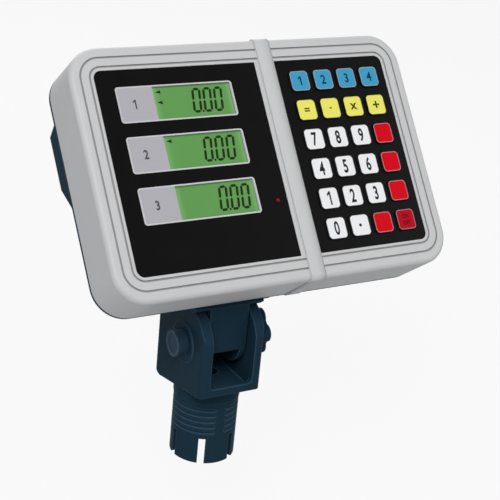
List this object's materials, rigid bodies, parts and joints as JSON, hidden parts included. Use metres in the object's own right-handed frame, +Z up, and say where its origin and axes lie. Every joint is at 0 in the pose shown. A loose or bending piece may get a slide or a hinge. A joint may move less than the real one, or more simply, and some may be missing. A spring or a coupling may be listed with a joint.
{
  "type": "weighing indicator",
  "caption": "Weighing indicator head with display windows and a keypad, tilting on a yoke with a clamping knob and a split pole insert.",
  "frame": {"origin": "centre of the pole insert's lower end, on the insert's axis", "axes": "+X to the right of the user facing the displays, along the tilt hinge; +Y away from the user; +Z up along the pole; the head rests tilted back 38 degrees"},
  "size_m": [0.24, 0.1297, 0.2668],
  "materials": {
    "navy_plastic": "moulded, fine texture",
    "slate_plastic": "moulded, fine texture",
    "steel": "plated",
    "brass": "turned",
    "grey_plastic": "moulded, satin",
    "gasket_rubber": "soft",
    "black_panel": "printed film",
    "silver_frame": "satin",
    "crystal": "glossy",
    "lamp_red": "clear red",
    "circuit_board": "lacquered",
    "board_black": "moulded",
    "socket_metal": "plated",
    "key_blue": "satin",
    "key_yellow": "satin",
    "key_white": "satin",
    "key_red": "satin",
    "key_dark_red": "satin"
  },
  "bodies": {
    "yoke": {"pole_yoke": "navy_plastic", "hinge_bolt": "slate_plastic", "friction_washers": "steel"},
    "head": {"front_housing": "grey_plastic", "rear_housing": "navy_plastic", "gasket": "gasket_rubber", "display_panel": "black_panel", "keypad_panel": "black_panel", "window_1": "silver_frame", "window_2": "silver_frame", "window_3": "silver_frame", "lcd_1": "crystal", "lcd_2": "crystal", "lcd_3": "crystal", "charge_lamp": "lamp_red", "display_board": "circuit_board", "key_board": "circuit_board", "dome_sheet": "steel", "main_board": "circuit_board", "board_parts": "board_black", "battery": "board_black", "battery_door": "slate_plastic", "door_screws": "steel", "housing_screws": "steel", "board_screws": "steel", "tilt_bracket": "navy_plastic", "bracket_screws": "steel", "cable_gland": "board_black", "power_socket": "board_black", "data_socket": "socket_metal"},
    "knob": {"clamp_knob": "navy_plastic", "knob_nut": "brass"},
    "key_blue_1_body": {"key_blue_1": "key_blue"},
    "key_blue_2_body": {"key_blue_2": "key_blue"},
    "key_blue_3_body": {"key_blue_3": "key_blue"},
    "key_blue_4_body": {"key_blue_4": "key_blue"},
    "key_yellow_1_body": {"key_yellow_1": "key_yellow"},
    "key_yellow_2_body": {"key_yellow_2": "key_yellow"},
    "key_yellow_3_body": {"key_yellow_3": "key_yellow"},
    "key_yellow_4_body": {"key_yellow_4": "key_yellow"},
    "key_7_body": {"key_7": "key_white"},
    "key_8_body": {"key_8": "key_white"},
    "key_9_body": {"key_9": "key_white"},
    "key_red_1_body": {"key_red_1": "key_red"},
    "key_4_body": {"key_4": "key_white"},
    "key_5_body": {"key_5": "key_white"},
    "key_6_body": {"key_6": "key_white"},
    "key_red_2_body": {"key_red_2": "key_red"},
    "key_1_body": {"key_1": "key_white"},
    "key_2_body": {"key_2": "key_white"},
    "key_3_body": {"key_3": "key_white"},
    "key_red_3_body": {"key_red_3": "key_red"},
    "key_0_body": {"key_0": "key_white"},
    "key_point_body": {"key_point": "key_white"},
    "key_red_4_body": {"key_red_4": "key_red"},
    "key_power_body": {"key_power": "key_dark_red"}
  },
  "joints": [
    {"name": "head_tilt", "type": "hinge", "parent": "yoke", "child": "head", "pos_m": [0, -0.0036, 0.085], "axis": [1, 0, 0], "range_deg": [-28, 30]},
    {"name": "knob_turn", "type": "hinge", "parent": "yoke", "child": "knob", "pos_m": [0.0288, -0.0036, 0.085], "axis": [1, 0, 0], "continuous": true},
    {"name": "press_key_blue_1", "type": "slide", "parent": "head", "child": "key_blue_1_body", "axis": [0, 0.788, -0.6157], "range_m": [0, 0.0005], "stiffness_N_per_m": 400},
    {"name": "press_key_blue_2", "type": "slide", "parent": "head", "child": "key_blue_2_body", "axis": [0, 0.788, -0.6157], "range_m": [0, 0.0005], "stiffness_N_per_m": 400},
    {"name": "press_key_blue_3", "type": "slide", "parent": "head", "child": "key_blue_3_body", "axis": [0, 0.788, -0.6157], "range_m": [0, 0.0005], "stiffness_N_per_m": 400},
    {"name": "press_key_blue_4", "type": "slide", "parent": "head", "child": "key_blue_4_body", "axis": [0, 0.788, -0.6157], "range_m": [0, 0.0005], "stiffness_N_per_m": 400},
    {"name": "press_key_yellow_1", "type": "slide", "parent": "head", "child": "key_yellow_1_body", "axis": [0, 0.788, -0.6157], "range_m": [0, 0.0005], "stiffness_N_per_m": 400},
    {"name": "press_key_yellow_2", "type": "slide", "parent": "head", "child": "key_yellow_2_body", "axis": [0, 0.788, -0.6157], "range_m": [0, 0.0005], "stiffness_N_per_m": 400},
    {"name": "press_key_yellow_3", "type": "slide", "parent": "head", "child": "key_yellow_3_body", "axis": [0, 0.788, -0.6157], "range_m": [0, 0.0005], "stiffness_N_per_m": 400},
    {"name": "press_key_yellow_4", "type": "slide", "parent": "head", "child": "key_yellow_4_body", "axis": [0, 0.788, -0.6157], "range_m": [0, 0.0005], "stiffness_N_per_m": 400},
    {"name": "press_key_7", "type": "slide", "parent": "head", "child": "key_7_body", "axis": [0, 0.788, -0.6157], "range_m": [0, 0.0005], "stiffness_N_per_m": 400},
    {"name": "press_key_8", "type": "slide", "parent": "head", "child": "key_8_body", "axis": [0, 0.788, -0.6157], "range_m": [0, 0.0005], "stiffness_N_per_m": 400},
    {"name": "press_key_9", "type": "slide", "parent": "head", "child": "key_9_body", "axis": [0, 0.788, -0.6157], "range_m": [0, 0.0005], "stiffness_N_per_m": 400},
    {"name": "press_key_red_1", "type": "slide", "parent": "head", "child": "key_red_1_body", "axis": [0, 0.788, -0.6157], "range_m": [0, 0.0005], "stiffness_N_per_m": 400},
    {"name": "press_key_4", "type": "slide", "parent": "head", "child": "key_4_body", "axis": [0, 0.788, -0.6157], "range_m": [0, 0.0005], "stiffness_N_per_m": 400},
    {"name": "press_key_5", "type": "slide", "parent": "head", "child": "key_5_body", "axis": [0, 0.788, -0.6157], "range_m": [0, 0.0005], "stiffness_N_per_m": 400},
    {"name": "press_key_6", "type": "slide", "parent": "head", "child": "key_6_body", "axis": [0, 0.788, -0.6157], "range_m": [0, 0.0005], "stiffness_N_per_m": 400},
    {"name": "press_key_red_2", "type": "slide", "parent": "head", "child": "key_red_2_body", "axis": [0, 0.788, -0.6157], "range_m": [0, 0.0005], "stiffness_N_per_m": 400},
    {"name": "press_key_1", "type": "slide", "parent": "head", "child": "key_1_body", "axis": [0, 0.788, -0.6157], "range_m": [0, 0.0005], "stiffness_N_per_m": 400},
    {"name": "press_key_2", "type": "slide", "parent": "head", "child": "key_2_body", "axis": [0, 0.788, -0.6157], "range_m": [0, 0.0005], "stiffness_N_per_m": 400},
    {"name": "press_key_3", "type": "slide", "parent": "head", "child": "key_3_body", "axis": [0, 0.788, -0.6157], "range_m": [0, 0.0005], "stiffness_N_per_m": 400},
    {"name": "press_key_red_3", "type": "slide", "parent": "head", "child": "key_red_3_body", "axis": [0, 0.788, -0.6157], "range_m": [0, 0.0005], "stiffness_N_per_m": 400},
    {"name": "press_key_0", "type": "slide", "parent": "head", "child": "key_0_body", "axis": [0, 0.788, -0.6157], "range_m": [0, 0.0005], "stiffness_N_per_m": 400},
    {"name": "press_key_point", "type": "slide", "parent": "head", "child": "key_point_body", "axis": [0, 0.788, -0.6157], "range_m": [0, 0.0005], "stiffness_N_per_m": 400},
    {"name": "press_key_red_4", "type": "slide", "parent": "head", "child": "key_red_4_body", "axis": [0, 0.788, -0.6157], "range_m": [0, 0.0005], "stiffness_N_per_m": 400},
    {"name": "press_key_power", "type": "slide", "parent": "head", "child": "key_power_body", "axis": [0, 0.788, -0.6157], "range_m": [0, 0.0005], "stiffness_N_per_m": 400}
  ]
}
